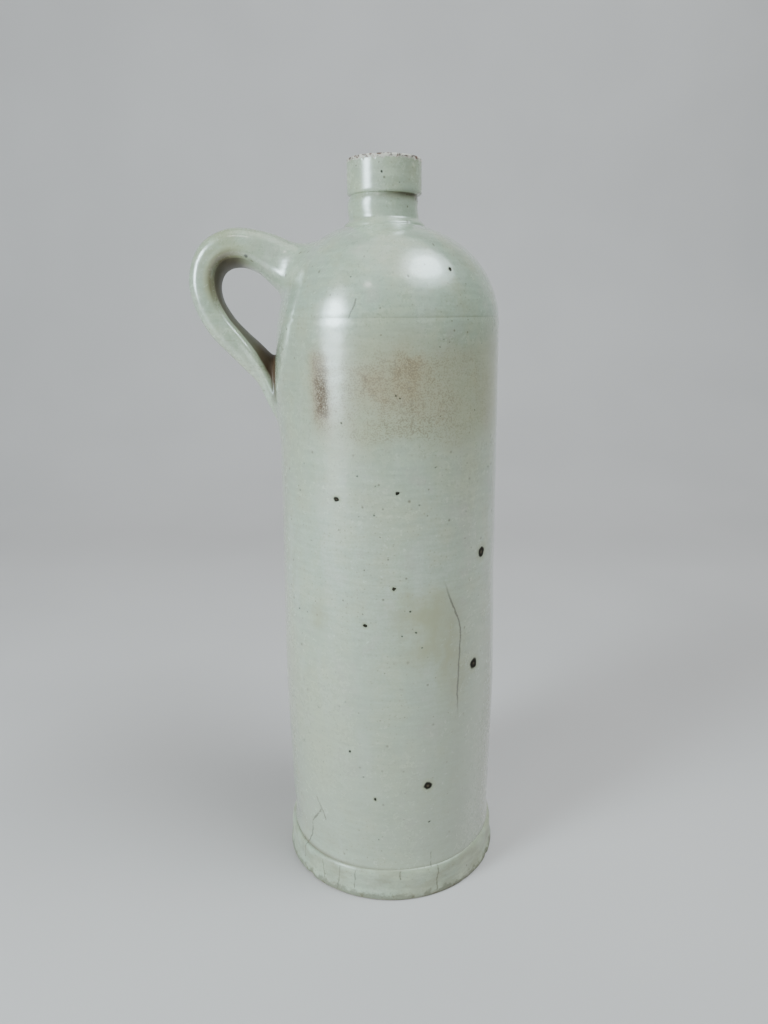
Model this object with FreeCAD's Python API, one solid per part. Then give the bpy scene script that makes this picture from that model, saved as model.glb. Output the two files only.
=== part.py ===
"""Handled stoneware bottle: a base, a drawn barrel, a domed shoulder, a short neck with an applied
lip ring, and a pulled loop handle. Each piece of clay is one closed solid, written to parts/NODE.step.

Millimetres. The origin is the centre of the underside, +Z runs up the bottle's axis, and the handle
stands out along -X in the XZ plane.
"""

import math
import os

import FreeCAD
import Part

Vector = FreeCAD.Vector

# ---- driving dimensions -------------------------------------------------------------------------

TOTAL_HEIGHT = 293.7
INSIDE_RADIUS = 38.3          # the cavity, from the floor to the shoulder
BORE_RADIUS = 9.0             # the mouth and neck, which a cork fills

SOLE_RADIUS = 46.7            # the foot spreads a little where it stands
SOLE_CHAMFER = 0.6
FOOT_RADIUS = 46.1            # the band round the base stands a little proud of the barrel
FOOT_HEIGHT = 13.3            # level of the joint between base and barrel
FOOT_BAND_HOLLOW = 0.15       # the band is this much slimmer half way up
FOOT_BROW_HEIGHT = 1.5        # height of the rounded brow at the top of the band
FLOOR_THICKNESS = 9.0

BARREL_FOOT_RADIUS = 44.9
BARREL_FOOT_LEAN = 0.08       # how fast it draws in just above the band, per mm of height
BARREL_WAIST = (44.7, 24.0)   # (radius, height) where the barrel is pinched in above the band
BARREL_BELLY = (45.55, 85.0)  # its widest place
BARREL_CHEST = (44.3, 190.0)  # from here up it is straight

SHOULDER_ARC_RADIUS = 39.0    # the dome is one arc, turned about the bottle's axis
SHOULDER_ARC_CENTRE = (4.9, 231.7)
SHOULDER_JOINT = 235.5        # level of the fine line round the bottle
JOINT_LINE_DEPTH = 0.35       # the fine line is a small groove, half on either piece

NECK_OFFSET = -1.0            # the neck was set a little off the axis, towards the handle
NECK_RADIUS = 13.6
NECK_JOINT = 268.9
NECK_BEAD_RADIUS = 15.4       # small bead where the neck meets the shoulder
NECK_BEAD_FOOT_RADIUS = 15.0
NECK_BEAD_HEIGHT = 2.4
NECK_SWEEP = (0.8, 1.6)       # (width, height) of the hollow sweep from the bead up to the neck
SPIGOT_RADIUS = 11.4          # the neck is stepped in to carry the lip ring
MOUTH_ROUND = 1.0

LIP_RADIUS = 14.4
LIP_HEIGHT = 13.1
LIP_ROUND = 0.9
LIP_FOOT_OVERHANG = 0.15      # how far the ring's flat underside stands out from the neck
LIP_FOOT_RISE = 0.9           # height of the rounding from the underside to the ring's side

# The handle's centre line in the XZ plane, from inside the shoulder, over the loop, to the barrel,
# each point with the handle's thickness in that plane and its width across it.
HANDLE_STATIONS = [
    # (x, z), thickness, width
    ((-30.0, 249.5), 21.0, 25.0),
    ((-38.5, 254.8), 18.6, 22.6),
    ((-47.0, 259.7), 16.0, 20.8),
    ((-55.5, 262.2), 14.4, 20.0),
    ((-63.6, 261.2), 13.4, 19.2),
    ((-69.4, 256.6), 12.4, 18.6),
    ((-71.9, 249.3), 11.8, 18.4),
    ((-70.7, 241.0), 11.6, 18.2),
    ((-66.4, 232.8), 11.4, 18.2),
    ((-60.2, 225.9), 11.4, 18.2),
    ((-53.5, 220.2), 12.2, 18.0),
    ((-48.0, 213.5), 11.8, 17.4),
    ((-44.8, 204.8), 9.0, 16.0),
    ((-43.0, 197.0), 6.2, 14.0),
    ((-41.8, 188.5), 4.4, 11.6),
]
HANDLE_FULLNESS = 0.68        # corner fullness of the section: 0.55 is an ellipse, 1 a rectangle

# What follows from them
INNER_ARC_RADIUS = INSIDE_RADIUS - SHOULDER_ARC_CENTRE[0]
DOME_START = (SHOULDER_ARC_CENTRE[0] + SHOULDER_ARC_RADIUS, SHOULDER_ARC_CENTRE[1])
LIP_JOINT = TOTAL_HEIGHT - LIP_HEIGHT


# ---- outlines, in (radius, height) --------------------------------------------------------------


def at(radius, height):
    return Vector(radius, 0, height)


def line(start, end):
    return Part.LineSegment(at(*start), at(*end)).toShape()


def arc(start, middle, end):
    return Part.Arc(at(*start), at(*middle), at(*end)).toShape()


def quarter(start, end, centre):
    """The rounding between a level end and an upright one, about the centre they share."""
    diagonal = math.sqrt(0.5)
    middle = tuple(c + diagonal * (s - c + e - c) for s, e, c in zip(start, end, centre))
    return arc(start, middle, end)


def arc_radius_at(height, arc_radius):
    """The radius of the turned dome at a height, for the outer or the inner arc."""
    rise = height - SHOULDER_ARC_CENTRE[1]
    return SHOULDER_ARC_CENTRE[0] + math.sqrt(arc_radius**2 - rise**2)


def arc_height_at(radius, arc_radius):
    """The height of the turned dome at a radius, for the outer or the inner arc."""
    run = radius - SHOULDER_ARC_CENTRE[0]
    return SHOULDER_ARC_CENTRE[1] + math.sqrt(arc_radius**2 - run**2)


def dome_arc(low, high, arc_radius):
    """The stretch of the dome's arc between two heights."""
    centre_height = SHOULDER_ARC_CENTRE[1]
    angles = [math.asin((height - centre_height) / arc_radius) for height in (low, high)]
    angles.insert(1, sum(angles) / 2)
    return arc(
        *(
            (
                SHOULDER_ARC_CENTRE[0] + arc_radius * math.cos(angle),
                centre_height + arc_radius * math.sin(angle),
            )
            for angle in angles
        )
    )


def barrel_side():
    """The barrel's slightly waisted and bellied side, from the foot joint to the start of the dome."""
    curve = Part.BSplineCurve()
    curve.interpolate(
        Points=[
            at(BARREL_FOOT_RADIUS, FOOT_HEIGHT),
            at(*BARREL_WAIST),
            at(*BARREL_BELLY),
            at(*BARREL_CHEST),
            at(*DOME_START),
        ],
        InitialTangent=Vector(-BARREL_FOOT_LEAN, 0, 1),
        FinalTangent=Vector(0, 0, 1),
    )
    return curve.toShape()


def turned(edges, offset=0.0):
    """The solid that the closed outline makes when it is turned about an upright line."""
    wire = Part.Wire(Part.__sortEdges__(edges))
    solid = Part.Face(wire).revolve(Vector(0, 0, 0), Vector(0, 0, 1), 360)
    solid.translate(Vector(offset, 0, 0))
    return solid


# ---- pieces -------------------------------------------------------------------------------------


def make_base():
    """The flat base: a floor with a low rim that carries the barrel, and the band round its edge."""
    sole_edge = (SOLE_RADIUS, SOLE_CHAMFER)
    band_middle = (FOOT_RADIUS - FOOT_BAND_HOLLOW, FOOT_HEIGHT / 2)
    band_top = (FOOT_RADIUS, FOOT_HEIGHT - FOOT_BROW_HEIGHT)
    joint_edge = (BARREL_FOOT_RADIUS, FOOT_HEIGHT)
    return turned(
        [
            line((0, 0), (SOLE_RADIUS - SOLE_CHAMFER, 0)),
            line((SOLE_RADIUS - SOLE_CHAMFER, 0), sole_edge),
            arc(sole_edge, band_middle, band_top),
            quarter(band_top, joint_edge, (joint_edge[0], band_top[1])),
            line(joint_edge, (INSIDE_RADIUS, FOOT_HEIGHT)),
            line((INSIDE_RADIUS, FOOT_HEIGHT), (INSIDE_RADIUS, FLOOR_THICKNESS)),
            line((INSIDE_RADIUS, FLOOR_THICKNESS), (0, FLOOR_THICKNESS)),
            line((0, FLOOR_THICKNESS), (0, 0)),
        ]
    )


def make_barrel():
    """The drawn tube of the bottle, up to the fine line at the shoulder."""
    inner_start = (INSIDE_RADIUS, SHOULDER_ARC_CENTRE[1])
    groove_low = SHOULDER_JOINT - JOINT_LINE_DEPTH
    lip = (arc_radius_at(groove_low, SHOULDER_ARC_RADIUS), groove_low)
    groove = (arc_radius_at(SHOULDER_JOINT, SHOULDER_ARC_RADIUS) - JOINT_LINE_DEPTH, SHOULDER_JOINT)
    inner_top = (arc_radius_at(SHOULDER_JOINT, INNER_ARC_RADIUS), SHOULDER_JOINT)
    return turned(
        [
            line((INSIDE_RADIUS, FOOT_HEIGHT), (BARREL_FOOT_RADIUS, FOOT_HEIGHT)),
            barrel_side(),
            dome_arc(DOME_START[1], lip[1], SHOULDER_ARC_RADIUS),
            line(lip, groove),
            line(groove, inner_top),
            dome_arc(inner_start[1], inner_top[1], INNER_ARC_RADIUS),
            line(inner_start, (INSIDE_RADIUS, FOOT_HEIGHT)),
        ]
    )


def make_shoulder():
    """The dome that closes the barrel down to the neck, with a hole in it under the bore."""
    groove_high = SHOULDER_JOINT + JOINT_LINE_DEPTH
    groove = (arc_radius_at(SHOULDER_JOINT, SHOULDER_ARC_RADIUS) - JOINT_LINE_DEPTH, SHOULDER_JOINT)
    lip = (arc_radius_at(groove_high, SHOULDER_ARC_RADIUS), groove_high)
    inner_low = (arc_radius_at(SHOULDER_JOINT, INNER_ARC_RADIUS), SHOULDER_JOINT)
    inside_hole = BORE_RADIUS - 2 * abs(NECK_OFFSET)
    crown = (inside_hole, arc_height_at(inside_hole, INNER_ARC_RADIUS))
    outer_top = (arc_radius_at(NECK_JOINT, SHOULDER_ARC_RADIUS), NECK_JOINT)
    dome = turned(
        [
            line(inner_low, groove),
            line(groove, lip),
            dome_arc(groove_high, NECK_JOINT, SHOULDER_ARC_RADIUS),
            line(outer_top, (0, NECK_JOINT)),
            line((0, NECK_JOINT), (0, crown[1])),
            line((0, crown[1]), crown),
            dome_arc(SHOULDER_JOINT, crown[1], INNER_ARC_RADIUS),
        ]
    )
    hole = Part.makeCylinder(BORE_RADIUS, TOTAL_HEIGHT, Vector(NECK_OFFSET, 0, 0))
    return dome.cut(hole).Solids[0]


def make_neck():
    """The neck, with the bead at its foot, the bore that a cork fills and the spigot for the lip."""
    bead_top = NECK_JOINT + NECK_BEAD_HEIGHT
    bead_middle = (NECK_BEAD_RADIUS, NECK_JOINT + NECK_BEAD_HEIGHT / 2)
    bead_foot = (NECK_BEAD_FOOT_RADIUS, NECK_JOINT)
    sweep_foot = (NECK_RADIUS + NECK_SWEEP[0], bead_top)
    sweep_top = (NECK_RADIUS, bead_top + NECK_SWEEP[1])
    mouth_top = (BORE_RADIUS + MOUTH_ROUND, TOTAL_HEIGHT)
    mouth_side = (BORE_RADIUS, TOTAL_HEIGHT - MOUTH_ROUND)
    return turned(
        [
            line((BORE_RADIUS, NECK_JOINT), bead_foot),
            arc(bead_foot, bead_middle, sweep_foot),
            quarter(sweep_foot, sweep_top, (sweep_foot[0], sweep_top[1])),
            line(sweep_top, (NECK_RADIUS, LIP_JOINT)),
            line((NECK_RADIUS, LIP_JOINT), (SPIGOT_RADIUS, LIP_JOINT)),
            line((SPIGOT_RADIUS, LIP_JOINT), (SPIGOT_RADIUS, TOTAL_HEIGHT)),
            line((SPIGOT_RADIUS, TOTAL_HEIGHT), mouth_top),
            quarter(mouth_top, mouth_side, (mouth_top[0], mouth_side[1])),
            line(mouth_side, (BORE_RADIUS, NECK_JOINT)),
        ],
        NECK_OFFSET,
    )


def make_lip():
    """The applied ring round the mouth, its outer edges rounded and its foot cut back to the neck."""
    underside = (NECK_RADIUS + LIP_FOOT_OVERHANG, LIP_JOINT)
    side_foot = (LIP_RADIUS, LIP_JOINT + LIP_FOOT_RISE)
    side_top = (LIP_RADIUS, TOTAL_HEIGHT - LIP_ROUND)
    rim = (LIP_RADIUS - LIP_ROUND, TOTAL_HEIGHT)
    return turned(
        [
            line((SPIGOT_RADIUS, LIP_JOINT), underside),
            quarter(underside, side_foot, (underside[0], side_foot[1])),
            line(side_foot, side_top),
            quarter(side_top, rim, (rim[0], side_top[1])),
            line(rim, (SPIGOT_RADIUS, TOTAL_HEIGHT)),
            line((SPIGOT_RADIUS, TOTAL_HEIGHT), (SPIGOT_RADIUS, LIP_JOINT)),
        ],
        NECK_OFFSET,
    )


def handle_section(place, along, thickness, width):
    """One closed section of the handle: a rounded oval across its centre line."""
    across = Vector(0, 1, 0)
    outward = along.cross(across)
    half_thick, half_wide = thickness / 2, width / 2
    quarters = []
    for turn in range(4):
        near = (math.cos(turn * math.pi / 2), math.sin(turn * math.pi / 2))
        far = (math.cos((turn + 1) * math.pi / 2), math.sin((turn + 1) * math.pi / 2))
        flat_points = [
            near,
            (near[0] + HANDLE_FULLNESS * far[0], near[1] + HANDLE_FULLNESS * far[1]),
            (far[0] + HANDLE_FULLNESS * near[0], far[1] + HANDLE_FULLNESS * near[1]),
            far,
        ]
        poles = [
            place + outward * (half_thick * u) + across * (half_wide * v) for u, v in flat_points
        ]
        curve = Part.BezierCurve()
        curve.setPoles(poles)
        quarters.append(curve.toShape())
    return Part.Wire(quarters)


def bottle_envelope():
    """Everything inside the bottle's outer surface from floor to neck, which trims the handle."""
    top = (arc_radius_at(NECK_JOINT, SHOULDER_ARC_RADIUS), NECK_JOINT)
    return turned(
        [
            line((0, FOOT_HEIGHT), (BARREL_FOOT_RADIUS, FOOT_HEIGHT)),
            barrel_side(),
            dome_arc(SHOULDER_ARC_CENTRE[1], NECK_JOINT, SHOULDER_ARC_RADIUS),
            line(top, (0, NECK_JOINT)),
            line((0, NECK_JOINT), (0, FOOT_HEIGHT)),
        ]
    )


def make_handle():
    """The pulled loop handle, thick where it leaves the shoulder and thin where it is pressed on."""
    points = [Vector(x, 0, z) for (x, z), _, _ in HANDLE_STATIONS]
    centre_line = Part.BSplineCurve()
    centre_line.interpolate(points)
    sections = []
    for point, (_, thickness, width) in zip(points, HANDLE_STATIONS):
        along = centre_line.tangent(centre_line.parameter(point))[0]
        sections.append(handle_section(point, along, thickness, width))
    loop = Part.makeLoft(sections, True, False)
    trimmed = loop.cut(bottle_envelope())
    return max(trimmed.Solids, key=lambda solid: solid.Volume)


PIECES = {
    "base": make_base,
    "barrel": make_barrel,
    "shoulder": make_shoulder,
    "neck": make_neck,
    "lip_ring": make_lip,
    "handle": make_handle,
}


def main():
    os.makedirs("parts", exist_ok=True)
    for name, make in PIECES.items():
        shape = make()
        if not shape.isValid() or shape.Volume <= 0:
            raise ValueError(f"{name} is not a good solid")
        shape.exportStep(f"parts/{name}.step")
        box = shape.optimalBoundingBox()
        print(
            f"{name}: {len(shape.Solids)} solid, {shape.Volume / 1000:.1f} cm3, "
            f"X {box.XMin:.1f} to {box.XMax:.1f}, Z {box.ZMin:.1f} to {box.ZMax:.1f}"
        )


main()
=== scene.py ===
"""Looks of the handled stoneware bottle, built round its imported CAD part.

Shapes are worked out in millimetres and become metres when a mesh is made. Azimuth goes round the
bottle's axis in degrees: 0 faces -Y, the side the main camera sees, 90 faces +X, -90 the handle.
"""

import math

import bpy
import numpy as np
import openvdb
from mathutils import Matrix, Vector


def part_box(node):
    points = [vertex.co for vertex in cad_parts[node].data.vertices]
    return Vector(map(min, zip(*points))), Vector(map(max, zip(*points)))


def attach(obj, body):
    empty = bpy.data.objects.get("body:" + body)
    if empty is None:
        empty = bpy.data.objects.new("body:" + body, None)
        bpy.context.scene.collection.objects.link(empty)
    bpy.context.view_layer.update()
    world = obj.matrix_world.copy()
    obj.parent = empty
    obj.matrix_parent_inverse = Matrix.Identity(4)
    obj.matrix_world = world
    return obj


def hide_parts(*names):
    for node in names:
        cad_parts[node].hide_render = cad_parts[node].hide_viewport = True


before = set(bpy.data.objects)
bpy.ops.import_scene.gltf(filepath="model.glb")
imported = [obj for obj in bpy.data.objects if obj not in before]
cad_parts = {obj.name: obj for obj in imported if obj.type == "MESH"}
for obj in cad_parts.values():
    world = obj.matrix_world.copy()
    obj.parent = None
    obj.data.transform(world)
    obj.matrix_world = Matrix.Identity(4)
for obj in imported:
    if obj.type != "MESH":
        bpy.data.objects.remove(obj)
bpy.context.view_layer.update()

MM = 0.001


def level(node, corner):
    """A CAD node's lowest (0) or highest (1) height, in millimetres."""
    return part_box(node)[corner][2] / MM


# ---- dimensions, mm -----------------------------------------------------------------------------

FOOT_TOP = level("base", 1)
RING_LINE = level("barrel", 1)
NECK_FOOT = level("shoulder", 1)
LIP_FOOT = level("lip_ring", 0)
TOP = level("neck", 1)

INSIDE_RADIUS = 38.3
FLOOR = 9.0
BORE_RADIUS = 9.0
SPIGOT_RADIUS = 11.4
NECK_RADIUS = 13.6
NECK_OFFSET = -1.0
BEAD_RADIUS = 15.2
LIP_RADIUS = 14.4
DOME_CENTRE = (4.9, 231.7)
DOME_ARC = 39.0
DOME_INSIDE_ARC = INSIDE_RADIUS - DOME_CENTRE[0]
DOME_INSIDE_TOP = math.degrees(1.15)   # where that arc ends, at the neck's bore
SOLE_RADIUS = 46.7
BAND_RADIUS = 46.1
BARREL_RADIUS = 44.3          # before its belly and its flare
WALL_RADIUS = 44.6            # with them, on average
GRAIN_RADIUS = 44.5           # where the wall's unevenness is drawn from
BROW_HEIGHT = 2.9             # the rounded top of the foot band
SOLE_ROUND = 0.9
CROWN_RADIUS = 13.6           # where the dome ends, under the neck's bead
MOUTH_ROUND = 1.2
LIP_FOOT_ROUND = 1.1
LIP_TOP_ROUND = 0.8
RING_DEPTH = 0.14             # the fine line round the bottle
RING_WIDTH = 1.1

AROUND = 288                  # facets round the body
NECK_AROUND = 240
LIP_AROUND = 480              # finer, for the small chips
HANDLE_AZIMUTH = -90.0
HANDLE_RADIUS = 60.0          # about how far out from the axis it is
VOXEL = 0.45                  # fineness of the handle's clay, and of its fillets
HANDLE_BOX = ((-81.0, -20.0, 184.0), (-22.0, 20.0, 276.0))
HANDLE_FULLNESS = 2.7         # 2 is an ellipse, more is boxier
CREST_TURN = 117              # where the crest runs along the strap, in degrees from its outer face
HANDLE_SKIN = 1.6             # how far the handle's clay reaches into the wall
GRID_EDGE = 3.0               # distances beyond this don't matter to the handle's surface

# The handle's centre line in the XZ plane, from inside the shoulder over the loop to the barrel.
HANDLE_LINE = [
    # x, z, half thickness, half width, twist in degrees
    (-30.0, 249.5, 11.0, 12.5, 0),
    (-38.5, 254.8, 9.8, 11.3, 3),
    (-47.0, 259.7, 8.0, 10.4, 5),
    (-55.5, 262.2, 7.2, 10.0, 8),
    (-63.6, 261.2, 6.8, 9.6, 7),
    (-69.4, 256.6, 6.4, 9.2, 3),
    (-71.9, 249.3, 6.2, 9.0, -3),
    (-70.7, 241.0, 6.0, 9.0, -6),
    (-66.4, 232.8, 5.9, 9.0, -6),
    (-60.2, 225.9, 5.8, 9.0, -2),
    (-53.7, 219.8, 5.4, 8.9, 8),
    (-48.0, 213.5, 4.5, 8.6, 18),
    (-44.8, 204.8, 3.5, 8.0, 16),
    (-43.0, 197.0, 2.6, 7.0, 5),
    (-42.0, 188.5, 1.9, 5.8, 0),
]


# ---- smooth helpers -----------------------------------------------------------------------------


def ease(low, high, value):
    """0 below low, 1 above high, smooth between."""
    t = np.clip((value - low) / (high - low), 0.0, 1.0)
    return t * t * (3 - 2 * t)


def bell(centre, width, value):
    return np.exp(-(((value - centre) / width) ** 2))


def turn_from(azimuth, centre):
    """Signed angle from a centre azimuth, in degrees, the short way round."""
    return (azimuth - centre + 180.0) % 360.0 - 180.0


def soft_noise(points, size, seed):
    """Smooth noise, mostly -1 to 1, with features about size across, from a few plane waves."""
    rng = np.random.default_rng(seed)
    total = np.zeros(points.shape[:-1])
    waves = 14
    for _ in range(waves):
        direction = rng.normal(size=3)
        direction *= rng.uniform(0.6, 1.4) / np.linalg.norm(direction)
        phase = rng.uniform(0, 2 * math.pi)
        total += np.sin(points @ direction * (2 * math.pi / size) + phase)
    return total / math.sqrt(waves / 2) / 2.2


# ---- the bottle's outer surface -----------------------------------------------------------------


def wall_radius(z):
    """The barrel's side: a slight belly low down, a flare at the very foot, and straight above."""
    belly = 1.25 * bell(83, 52, z)
    flare = 0.4 * bell(12.5, 5.0, z)
    draw_in = 0.4 * ease(190, DOME_CENTRE[1], z)
    return BARREL_RADIUS + belly + flare - draw_in


def dome_radius(z, arc=DOME_ARC):
    rise = np.clip((z - DOME_CENTRE[1]) / arc, 0.0, 1.0)
    return DOME_CENTRE[0] + arc * np.sqrt(1 - rise**2)


def dome_height(radius, arc):
    return DOME_CENTRE[1] + math.sqrt(arc**2 - (radius - DOME_CENTRE[0]) ** 2)


def body_radius(z):
    return np.where(z < DOME_CENTRE[1], wall_radius(z), dome_radius(z))


def on_circle(azimuth, radius, z):
    """Points at azimuths, radii and heights; all three broadcast together."""
    turn = np.radians(azimuth)
    radius, turn, z = np.broadcast_arrays(radius, turn, z)
    return np.stack([radius * np.sin(turn), -radius * np.cos(turn), z], axis=-1)


def unevenness(azimuth, z):
    """How far the hand-made wall stands off the true shape, in mm."""
    turn = np.radians(azimuth)
    oval = 0.20 * np.cos(2 * turn + 0.6 + z / 160) + 0.10 * np.cos(3 * turn - 1.1 - z / 90)
    waist = -0.22 * bell(184, 7, z) * (0.7 + 0.3 * np.cos(turn + 0.5))
    pinch = -0.75 * bell(19, 6.5, z) * (0.45 - 0.55 * np.sin(turn))
    from_handle = turn_from(azimuth, HANDLE_AZIMUTH + 4)
    near_handle = 1.7 * bell(0, 24, from_handle) * bell(208, 16, z)
    near_handle -= 0.8 * bell(0, 40, from_handle) * bell(241, 10, z)
    place = on_circle(azimuth, GRAIN_RADIUS, z)
    hand = 0.16 * soft_noise(place, 55, 3) + 0.06 * soft_noise(place, 19, 5)
    hand += 0.014 * soft_noise(place, 7, 6)
    throwing = 0.010 * np.sin(2 * math.pi * z / 4.7 + turn + 0.9 * np.sin(2 * turn))
    throwing *= 0.7 + 0.6 * soft_noise(place, 40, 8)
    fade_top = 1 - ease(250, 268, z)
    return (oval + waist + pinch + near_handle + hand) * fade_top + throwing


def ring_groove(z):
    """The shallow line pressed round the bottle where the barrel meets the shoulder."""
    return -RING_DEPTH * bell(RING_LINE, RING_WIDTH, z)


def joint_middle():
    """The radius half way through the wall at that line."""
    return 0.5 * (body_radius(RING_LINE) + dome_radius(RING_LINE, DOME_INSIDE_ARC))


def joint_waver(azimuth):
    """How far up or down the joint above the foot band wanders."""
    turn = np.radians(azimuth)
    return 0.35 * np.sin(turn * 2 + 0.7) + 0.2 * np.sin(turn * 5 + 2.0) + 0.12 * np.sin(turn * 9)


# ---- meshes -------------------------------------------------------------------------------------


def new_object(name, data):
    """An object in the scene, from a mesh, a light or a camera."""
    thing = bpy.data.objects.new(name, data)
    bpy.context.scene.collection.objects.link(thing)
    return thing


def add_piece(node, points, faces, sharp=38.0):
    """A smooth closed mesh from points in mm, riding on the bottle in place of its CAD node."""
    name = node + "_piece"
    mesh = bpy.data.meshes.new(name)
    mesh.from_pydata((points * MM).tolist(), [], faces)
    mesh.validate()
    mesh.update()
    mesh.shade_smooth()
    mesh.set_sharp_from_angle(angle=math.radians(sharp))
    piece = new_object(name, mesh)
    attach(piece, "root")
    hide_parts(node)
    return piece


def paint_layer(piece, name, values):
    """Stores one number per vertex for the materials to read."""
    layer = piece.data.attributes.new(name, "FLOAT", "POINT")
    layer.data.foreach_set("value", np.asarray(values, dtype=np.float32))


def once_round(count=AROUND):
    """Evenly spaced azimuths."""
    return np.arange(count) * 360.0 / count


def lathe(node, azimuths, outline, closed=True):
    """A turned solid. Each row of its outline is a radius and a height, and a shift along X if it
    has one; each is one number or an array over the azimuths.

    A closed outline is a ring's section. An open one starts and ends on the axis.
    """
    around = len(azimuths)
    rows = []
    for radius, height, *shift in outline:
        row = on_circle(azimuths, radius, height)
        row[:, 0] += sum(shift)
        rows.append(row)
    count = len(rows)
    points = np.concatenate(rows)
    grid = np.arange(count * around).reshape(count, around)
    faces = []
    last = count if closed else count - 1
    for row in range(last):
        low, high = grid[row], grid[(row + 1) % count]
        low_next, high_next = np.roll(low, -1), np.roll(high, -1)
        faces += np.stack([low, low_next, high_next, high], axis=1).tolist()
    if not closed:
        poles = np.array([rows[0].mean(axis=0), rows[-1].mean(axis=0)])
        start, end = len(points), len(points) + 1
        points = np.concatenate([points, poles])
        first, final = grid[0], grid[-1]
        faces += [[start, b, a] for a, b in zip(first, np.roll(first, -1))]
        faces += [[end, a, b] for a, b in zip(final, np.roll(final, -1))]
    return add_piece(node, points, faces)


def heights(low, high, step):
    """Evenly spaced heights between two levels, ends included."""
    return np.linspace(low, high, max(2, int(round((high - low) / step)) + 1))


def round_bend(radius, height, bend, start, end, count):
    """An outline's points round a bend about a centre. Angles in degrees, 0 facing outwards."""
    angles = np.radians(np.linspace(start, end, count))
    return [(radius + bend * math.cos(a), height + bend * math.sin(a)) for a in angles]


def make_base():
    """The floor and the foot band: uneven, worn at the sole, with a rounded brow."""
    azimuths = once_round()
    turn = np.radians(azimuths)
    place = on_circle(azimuths, SOLE_RADIUS, 0.0)
    waver = joint_waver(azimuths)
    wall_foot = wall_radius(FOOT_TOP) + unevenness(azimuths, FOOT_TOP)
    band = BAND_RADIUS + 0.14 * soft_noise(place, 30, 21) + 0.10 * np.sin(turn * 2 + 1)
    worn = np.clip(soft_noise(place, 9, 23) - 0.45, 0, 1) * 1.1
    sole = SOLE_RADIUS + 0.12 * soft_noise(place, 22, 24) - worn
    rows = [(radius, 0.0) for radius in (6.0, 16.0, 26.0, 34.0, 40.0, 43.5)]
    rows += round_bend(sole - SOLE_ROUND, SOLE_ROUND, SOLE_ROUND, -90, 0, 5)
    brow_foot = FOOT_TOP - BROW_HEIGHT
    for share in np.linspace(0.08, 1, 18):
        height = SOLE_ROUND + (brow_foot - SOLE_ROUND) * share + waver * ease(0.3, 1, share)
        hollow = -0.35 * math.sin(math.pi * share) ** 2
        radius = sole * (1 - ease(0, 0.45, share)) + band * ease(0, 0.45, share) + hollow * 0.5
        rows.append((radius + 0.05 * soft_noise(place + height[:, None], 6, 27), height))
    rim_z = FOOT_TOP + waver
    for angle in np.linspace(0.2, math.pi / 2, 8):
        radius = wall_foot + (band - wall_foot) * math.cos(angle) ** 1.1
        rows.append((radius, rim_z - BROW_HEIGHT + BROW_HEIGHT * math.sin(angle)))
    for share in (0.4, 0.8, 1.0):
        flat_z = rim_z * (1 - ease(0, 0.8, share)) + FOOT_TOP * ease(0, 0.8, share)
        rows.append((wall_foot + (INSIDE_RADIUS - wall_foot) * share, flat_z))
    rows += [(INSIDE_RADIUS, FLOOR + 1.5), (INSIDE_RADIUS - 0.6, FLOOR + 0.4)]
    rows += [(radius, FLOOR) for radius in (INSIDE_RADIUS - 2, 30.0, 20.0, 10.0, 4.0)]
    return lathe("base", azimuths, rows, closed=False)


def make_barrel():
    """The drawn wall, from the foot joint to the line at the shoulder."""
    azimuths = once_round()
    waver = joint_waver(azimuths)
    rows = []
    for z in heights(FOOT_TOP, RING_LINE, 0.75):
        height = z + waver * (1 - ease(FOOT_TOP, FOOT_TOP + 9, z))
        radius = body_radius(z) + unevenness(azimuths, z) + ring_groove(z)
        rows.append((radius, height))
    rows.append((joint_middle(), RING_LINE))
    for z in heights(RING_LINE, DOME_CENTRE[1], 1.0):
        rows.append((dome_radius(z, DOME_INSIDE_ARC), z))
    for z in heights(DOME_CENTRE[1] - 6, FOOT_TOP, 12.0):
        rows.append((INSIDE_RADIUS, z))
    foot = wall_radius(FOOT_TOP) + unevenness(azimuths, FOOT_TOP)
    rows.append((0.8 * INSIDE_RADIUS + 0.2 * foot, FOOT_TOP))
    rows.append((0.4 * INSIDE_RADIUS + 0.6 * foot, FOOT_TOP + waver))
    return lathe("barrel", azimuths, rows)


def make_shoulder():
    """The dome. Its crown runs on a little under the neck's bead, so no flat ledge shows."""
    azimuths = once_round()
    rows = []
    steep = math.asin((RING_LINE - DOME_CENTRE[1]) / DOME_ARC)
    flat = math.acos((CROWN_RADIUS - DOME_CENTRE[0]) / DOME_ARC)
    for angle in np.linspace(steep, flat, 72):
        z = DOME_CENTRE[1] + DOME_ARC * math.sin(angle)
        out = unevenness(azimuths, z) + ring_groove(z)
        radius = DOME_CENTRE[0] + DOME_ARC * math.cos(angle) + out * math.cos(angle)
        height = z + (out - unevenness(azimuths, RING_LINE)) * math.sin(angle) * (angle > steep)
        share = ease(steep, steep + 0.25, angle)
        rows.append((radius, z + (height - z) * share, NECK_OFFSET * ease(36, 14, radius)))
    top = rows[-1][1]
    foot = dome_height(BORE_RADIUS + 1.5, DOME_INSIDE_ARC)
    hole = [(BORE_RADIUS + 1.0, top), (BORE_RADIUS, top), (BORE_RADIUS, foot)]
    rows += [(*place, NECK_OFFSET) for place in hole]
    low = math.degrees(math.asin((RING_LINE - DOME_CENTRE[1]) / DOME_INSIDE_ARC))
    rows += round_bend(*DOME_CENTRE, DOME_INSIDE_ARC, DOME_INSIDE_TOP, low, 20)
    rows.append((joint_middle(), RING_LINE))
    return lathe("shoulder", azimuths, rows)


def neck_shift(z):
    """How far off the bottle's axis the neck stands at a height; it bows out at its middle."""
    return NECK_OFFSET - 0.7 * bell(276.5, 4.0, z)


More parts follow.
